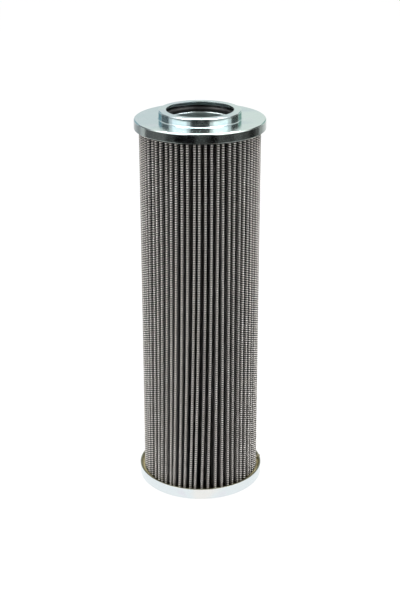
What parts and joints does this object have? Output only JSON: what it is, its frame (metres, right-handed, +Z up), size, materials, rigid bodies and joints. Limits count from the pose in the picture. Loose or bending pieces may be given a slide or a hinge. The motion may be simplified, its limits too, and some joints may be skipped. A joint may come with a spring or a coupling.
{
  "type": "pleated hydraulic filter element",
  "caption": "Cylindrical pleated filter element with wire-cloth pleats between an open end cap, with a collar and bore seal, and a closed end cap.",
  "frame": {"origin": "centre of the closed cap's underside, where the element stands", "axes": "+Z up the element's axis towards the open cap"},
  "size_m": [0.086, 0.086, 0.264],
  "materials": {
    "zinc_plate": "bright zinc-plated sheet steel, satin where it was drawn",
    "core_steel": "zinc-plated strip and perforated sheet",
    "wire_cloth": "plain-weave wire cloth, dull warm grey",
    "glass_fibre": "white glass-fibre web with fleece on both sides",
    "seal_rubber": "black nitrile, smooth",
    "potting_resin": "cast amber-olive epoxy"
  },
  "bodies": {
    "root": {"top_end_cap": "zinc_plate", "bore_seal": "seal_rubber", "seal_seat_ring": "zinc_plate", "core_tube": "core_steel", "outer_wire_mesh": "wire_cloth", "filter_media": "glass_fibre", "inner_wire_mesh": "wire_cloth", "seam_clip": "core_steel", "top_resin": "potting_resin", "bottom_resin": "potting_resin", "bottom_end_cap": "zinc_plate"}
  },
  "joints": []
}
